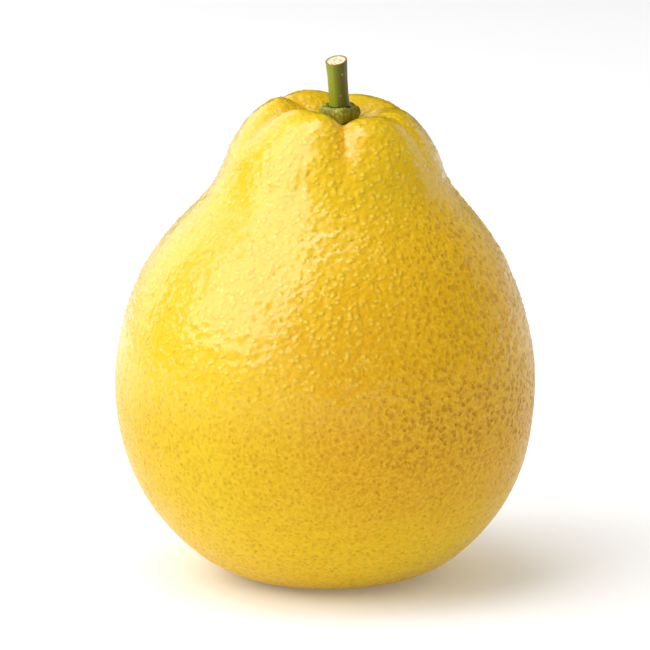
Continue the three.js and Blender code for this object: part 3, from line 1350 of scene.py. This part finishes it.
@dataclass(frozen=True)
class Calyx:
    """The five-lobed button in the stem cavity, with the socket that holds the stalk."""

    form: SkinForm
    finish: CalyxFinish = field(default_factory=CalyxFinish)
    radius: float = 7.35 * MM
    lobe_swing: float = 0.55 * MM
    lump_swing: float = 0.45 * MM
    fine_swing: float = 0.14 * MM
    streak_height: float = 0.04 * MM
    bump_height: float = 0.22 * MM
    bump_size: float = 1.5 * MM
    lobes: int = 5
    front_azimuth: float = 274
    notch_width: float = 7
    notch_depth: float = 0.16 * MM
    top: float = 182.2 * MM
    socket_radius: float = 4.4 * MM
    seat_gap: float = 0.3 * MM
    columns: int = 180
    rows: int = 72
    seed: int = 5

    def floor(self, radius: Array, azimuth: Array) -> Array:
        """Height of the cavity's floor at radii and azimuths about its pole."""
        return self.form.place(self.form.cavity_t(radius), azimuth)[:, 2]

    def section(self, azimuth: Array) -> tuple[Array, Array, Array]:
        """The calyx's section at each azimuth.

        Args:
            azimuth: Azimuths in radians.

        Returns:
            Control radii and heights, a row for each control point, and how deep in a notch
            between two lobes each azimuth is.
        """
        turn = azimuth - math.radians(self.front_azimuth)
        wave = np.cos(self.lobes * turn)
        lobe = (1 + wave) / 2
        between = turn_from(self.lobes * turn, math.pi) / self.lobes
        notch = np.exp(-((between / math.radians(self.notch_width)) ** 2))
        lump = noise_at(circle(azimuth), (0.55, 0.55, 1), self.seed)
        fine = noise_at(circle(azimuth), (0.2, 0.2, 1), self.seed + 1)
        edge = self.radius + self.lobe_swing * wave + lump * self.lump_swing + fine * self.fine_swing
        edge = edge - notch * self.notch_depth * 0.7
        top = self.top + (0.35 * lobe - 0.2 + 0.3 * lump) * MM - notch * self.notch_depth * 0.5
        floor = self.floor(edge, azimuth) + self.seat_gap
        middle = (floor + top) / 2
        radii = []
        heights = []
        for share, gaps in ((0.0, 1), (0.35, 1), (0.66, 1), (0.80, 1), (0.87, 2)):
            radii.append(edge * share)
            heights.append(self.floor(np.maximum(edge * share, 0.1 * MM), azimuth) + self.seat_gap * gaps)
        for share, level, rise in (
            (0.99, middle, -0.7), (1.06, middle, 0.6), (1.02, top, -0.65),
            (0.90, top, 0.15), (0.77, top, 0.20), (0.66, top, -0.15),
        ):
            radii.append(edge * share)
            heights.append(level + rise * MM)
        inner = np.full_like(azimuth, self.socket_radius)
        for share, drop in ((1.02, 0.6), (0.985, 1.2), (0.97, 1.75), (0.7, 1.8), (0.0, 1.8)):
            radii.append(inner * share)
            heights.append(np.full_like(azimuth, self.top - drop * MM))
        return np.array(radii), np.array(heights), notch

    def mesh(self) -> bpy.types.Mesh:
        """Make the calyx's closed mesh.

        Returns:
            The mesh, with how deep each point is in the painted crease shade, under the calyx, in its socket
            and in the notches, and how far it is in a streak that helps place the painted highlights.
        """
        azimuth = np.arange(self.columns) / self.columns * 2 * np.pi
        radii, heights, notch = self.section(azimuth)
        controls = np.stack([radii, heights], -1)
        controls = np.concatenate([controls[:1], controls, controls[-1:]])
        controls[0, :, 0] *= -1
        along = (np.arange(self.rows) + 1) / (self.rows + 1)
        pole = self.form.cavity_pole()
        rings = spline_points(controls.reshape(len(controls), -1), along)[0]
        radius, height = np.moveaxis(rings.reshape(self.rows, self.columns, 2), -1, 0)
        x = pole[0] + radius * np.cos(azimuth)
        y = pole[1] + radius * np.sin(azimuth)
        flat = np.stack([x, y, height], -1).reshape(-1, 3)
        streak = noise_at(circle(azimuth), (0.07, 0.07, 1), 9)
        outer = ramp(along, 0.22, 0.32) * (1 - ramp(along, 0.62, 0.70))
        lift = (outer[:, None] * streak[None, :] * self.streak_height).reshape(-1)
        bumps = noise_at(flat, (self.bump_size,) * 3, 3) * self.bump_height
        lift = lift + bumps * np.repeat(outer, self.columns)
        away = flat - np.array([pole[0], pole[1], self.top - 2.2 * MM])
        flat = flat + away / np.linalg.norm(away, axis=1, keepdims=True) * lift[:, None]
        bottom = [pole[0], pole[1], flat[: self.columns, 2].mean()]
        socket = [pole[0], pole[1], flat[-self.columns:, 2].mean()]
        # painted shade: dark under the calyx, in the stalk's socket and in the notches between lobes
        crease_shade = np.maximum(notch[None, :] * outer[:, None] * 0.3, ramp(along, 0.70, 0.77)[:, None])
        crease_shade = np.maximum(crease_shade, 1 - ramp(along, 0.20, 0.28)[:, None])
        streaks = outer[:, None] * (streak[None, :] + 0.3)
        return mesh_from(
            "calyx body",
            np.vstack([bottom, flat, socket]),
            lathe_faces(self.rows, self.columns),
            {"crease_shade": with_poles(1, crease_shade, 1), "streak": with_poles(1, streaks, 1)},
        )

    def build(self) -> None:
        """Build the calyx and put it in place of its CAD node."""
        warts = WartScatter("calyx warts", 3.0e5, 0.14 * MM, 0.26 * MM, 0.45, 0.9 * MM, 3)
        calyx = warts.run(self.mesh(), "crease_shade", self.finish.material(), "calyx_button")
        finish_piece(calyx, "calyx")


@dataclass(frozen=True)
class Stalk:
    """The stub of fruit stalk: ribbed green bark and an oblique cut."""

    form: SkinForm
    finish: StalkFinish = field(default_factory=StalkFinish)
    foot_height: float = 180.7 * MM
    cut_height: float = 199.5 * MM
    foot_radius: float = 4.15 * MM
    waist_radius: float = 3.72 * MM
    cut_radius: float = 4.1 * MM
    lean: tuple[float, float] = (-1.3 * MM, 0.4 * MM)
    slope: tuple[float, float] = (0.14, 0.27)
    rib_height: float = 0.03 * MM
    lump_height: float = 0.11 * MM
    knot_height: float = 0.05 * MM
    bark_width: float = 0.62 * MM
    # the side that gets the painted light, towards the left softbox
    lit_side_azimuth: float = 200
    columns: int = 160
    side_rows: int = 64
    cut_rows: int = 30
    seed: int = 8

    def side_radius(self, rise: Array) -> Array:
        """Shape the bark's side.

        Args:
            rise: Shares of the stalk's height.

        Returns:
            The radius at each.
        """
        foot, waist, cut = self.foot_radius, self.waist_radius, self.cut_radius
        radii = (foot, foot - 0.1 * MM, waist + 0.1 * MM, waist, cut - 0.12 * MM, cut)
        return np.interp(rise, (0, 0.07, 0.3, 0.65, 0.9, 1), radii)

    def rows(self) -> tuple[Array, Array, Array]:
        """Lay out the mesh's rows, up the bark and then inward over the cut.

        Returns:
            Each row's radius, its share of the stalk's height, and 1 if it is on the cut or 0 if not.
        """
        rise = np.linspace(0, 1, self.side_rows)
        side = np.convolve(np.pad(self.side_radius(rise), 2, mode="edge"), np.ones(5) / 5, "valid")
        inward = 1 - np.linspace(0, 1, self.cut_rows + 1)[:-1] ** 1.15
        inward = np.concatenate([[0.995, 0.985], inward[1:]])
        radius = np.concatenate([side, self.cut_radius * inward])
        up = np.concatenate([rise, np.ones(len(inward))])
        return radius, up, np.concatenate([np.zeros(self.side_rows), np.ones(len(inward))])

    def ribs(self, place: Array, turn: Array) -> Array:
        """Raise the bark's ribs and lumps.

        Args:
            place: Points of a cylinder of radius 1 and height 1, one row each.
            turn: Their azimuths, in radians.

        Returns:
            How far the bark stands out at each point, in metres.
        """
        ribs = np.cos(7 * turn + 1.0) * self.rib_height
        ribs = ribs + np.cos(12 * turn + 2.2 + 1.5 * place[:, 2]) * self.rib_height / 2
        ribs = ribs + noise_at(place, (0.5,) * 3, self.seed) * self.lump_height
        return ribs + noise_at(place, (0.13, 0.13, 0.35), self.seed + 1) * self.knot_height

    def mesh(self) -> bpy.types.Mesh:
        """Make the stalk's closed mesh.

        Returns:
            The mesh, with what the finish and the lenticels need to know about each point.
        """
        azimuth = np.arange(self.columns) / self.columns * 2 * np.pi
        radius, up, on_cut = self.rows()
        grid_up = np.repeat(up, self.columns)
        grid_radius = np.repeat(radius, self.columns)
        grid_circle = np.tile(circle(azimuth)[:, :2], (len(up), 1))
        grid_cut = np.repeat(on_cut, self.columns)
        grid_turn = np.tile(azimuth, len(up))
        place = np.column_stack([grid_circle, grid_up])
        share = grid_radius / self.cut_radius
        grid_radius = grid_radius + self.ribs(place, grid_turn) * np.where(grid_cut > 0, share**4, 1)

        slant = self.slope[0] * grid_circle[:, 0] + self.slope[1] * grid_circle[:, 1]
        height = self.foot_height + (self.cut_height - self.foot_height) * grid_up
        height = height + grid_radius * slant * grid_up**3
        pole = self.form.cavity_pole()
        x = pole[0] + grid_radius * grid_circle[:, 0] + self.lean[0] * grid_up
        y = pole[1] + grid_radius * grid_circle[:, 1] + self.lean[1] * grid_up**2
        points = np.stack([x, y, height], -1)

        from_edge = (self.cut_radius - np.repeat(radius, self.columns)) * grid_cut
        bark_ring = grid_cut * (1 - ramp(from_edge / self.bark_width, 0.6, 1.4))
        diagonal = np.column_stack([x + 0.8 * y, y - 0.8 * x, 0 * x])
        fibres = noise_at(diagonal, (0.42 * MM, 3.0 * MM, 1), self.seed + 2)
        splinter = noise_at(points, (0.5 * MM,) * 3, self.seed + 3)
        wood = grid_cut * (1 - bark_ring)
        points[:, 2] += wood * (0.10 * fibres + 0.05 * splinter - 0.12) * MM
        frayed = noise_at(place, (0.25, 0.25, 9), self.seed + 4)
        points[:, 2] += bark_ring * (0.10 + 0.16 * frayed) * MM * smooth(from_edge / (0.12 * MM))

        bottom = [pole[0], pole[1], self.foot_height]
        middle = points[-self.columns:].mean(0)
        unseen = np.maximum(1 - ramp(grid_up, 0.1, 0.15), ramp(grid_up, 0.9, 0.95))
        marks = {
            "cut": (0, np.maximum(wood, ramp(bark_ring * grid_cut, 0.2, 0.8)), 1),
            "rim": (0, np.maximum(bark_ring, ramp(grid_up, 0.975, 1) * (1 - grid_cut) * 0.7), 0),
            "fibre": (0, wood * (0.5 + fibres), 0.5),
            "foot": (1, (1 - ramp(grid_up, 0.065, 0.095)) * (1 - grid_cut), 0),
            # painted light: 1 on the side towards the lights, 0 on the far side
            "lit_side": (0, (1 + np.cos(grid_turn - math.radians(self.lit_side_azimuth))) / 2, 0),
            "bare": (1, np.maximum(grid_cut, unseen), 1),
        }
        values = {label: with_poles(*mark) for label, mark in marks.items()}
        faces = lathe_faces(len(up), self.columns)
        return mesh_from("stalk body", np.vstack([bottom, points, middle]), faces, values)

    def build(self) -> None:
        """Build the stalk and put it in place of its CAD node."""
        lenticels = WartScatter("stalk lenticels", 1.2e5, 0.24 * MM, 0.42 * MM, 0.35, 4.2 * MM, 6)
        stalk = lenticels.run(self.mesh(), "bare", self.finish.material(), "stalk_stub")
        finish_piece(stalk, "stem")


# The studio


@dataclass(frozen=True)
class Softbox:
    """A large square light with an even face."""

    name: str
    azimuth: float
    elevation: float
    distance: float
    width: float
    height: float
    radiance: float

    def build(self, target: Vector) -> None:
        """Hang the softbox so that it faces the target.

        Args:
            target: The point that it faces.
        """
        light = bpy.data.lights.new(self.name, "AREA")
        light.shape = "RECTANGLE"
        light.size = self.width
        light.size_y = self.height
        light.energy = self.radiance * math.pi * self.width * self.height
        lamp = bpy.data.objects.new(self.name, light)
        turn, tip = math.radians(self.azimuth), math.radians(self.elevation)
        away = Vector((math.cos(turn) * math.cos(tip), math.sin(turn) * math.cos(tip), math.sin(tip)))
        lamp.location = target + away * self.distance
        lamp.rotation_euler = (-away).to_track_quat("-Z", "Y").to_euler()
        bpy.context.scene.collection.objects.link(lamp)


@dataclass(frozen=True)
class Studio:
    """The camera, the lights and the floor."""

    lens: float = 400.0
    sensor: float = 36.0
    distance: float = 2.76
    elevation: float = 12.3
    target: Triple = (0.0, 0.0, 0.0969)
    floor_half: float = 6.0
    sky: Colour = (1.0, 1.0, 1.0, 1.0)
    sky_strength: float = 0.52
    floor_finish: FloorFinish = field(default_factory=FloorFinish)
    lights: tuple[Softbox, ...] = (
        Softbox("left softbox", 206, 42, 1.4, 1.5, 1.4, 2.65),
        Softbox("back left softbox", 130, 25, 1.6, 1.3, 1.4, 1.2),
        Softbox("top softbox", 200, 84, 1.5, 0.7, 0.7, 3.6),
        Softbox("front fill", 243, 14, 2.2, 1.4, 0.9, 0.3),
        Softbox("right softbox", 45, 2, 1.5, 1.3, 1.4, 0.58),
    )

    def build_camera(self) -> None:
        """Set the camera at the photograph's viewing angle."""
        data = bpy.data.cameras.new("camera")
        data.lens = self.lens
        data.sensor_width = self.sensor
        camera = bpy.data.objects.new("camera", data)
        tip = math.radians(self.elevation)
        away = Vector((0, -math.cos(tip), math.sin(tip))) * self.distance
        camera.location = Vector(self.target) + away
        camera.rotation_euler = (math.pi / 2 - tip, 0, 0)
        bpy.context.scene.collection.objects.link(camera)
        bpy.context.scene.camera = camera

    def build_floor(self) -> None:
        """Lay the floor."""
        half = self.floor_half
        corners = np.array([(-half, -half, 0), (half, -half, 0), (half, half, 0), (-half, half, 0)], float)
        floor = bpy.data.objects.new("floor", mesh_from("floor", corners, [(0, 1, 2, 3)], {}))
        floor.data.materials.append(self.floor_finish.material())
        bpy.context.scene.collection.objects.link(floor)

    def build(self) -> None:
        """Build the whole studio."""
        self.build_camera()
        self.build_floor()
        for light in self.lights:
            light.build(Vector(self.target))
        world = bpy.data.worlds.new("studio")
        bpy.context.scene.world = world
        world.use_nodes = True
        sky = world.node_tree.nodes["Background"]
        sky.inputs["Color"].default_value = self.sky
        sky.inputs["Strength"].default_value = self.sky_strength
        world.cycles_visibility.glossy = False
        bpy.context.scene.view_settings.view_transform = "Standard"
        LOG.info("studio: camera, floor and %d softboxes", len(self.lights))


def main() -> None:
    """Build the pomelo and its studio."""
    logging.basicConfig(level=logging.INFO, format="%(name)s: %(message)s")
    form = SkinForm().fitted(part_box("fruit")[1].z)
    Fruit(form).build()
    Calyx(form).build()
    Stalk(form).build()
    Studio().build()


if __name__ == "__main__":
    main()
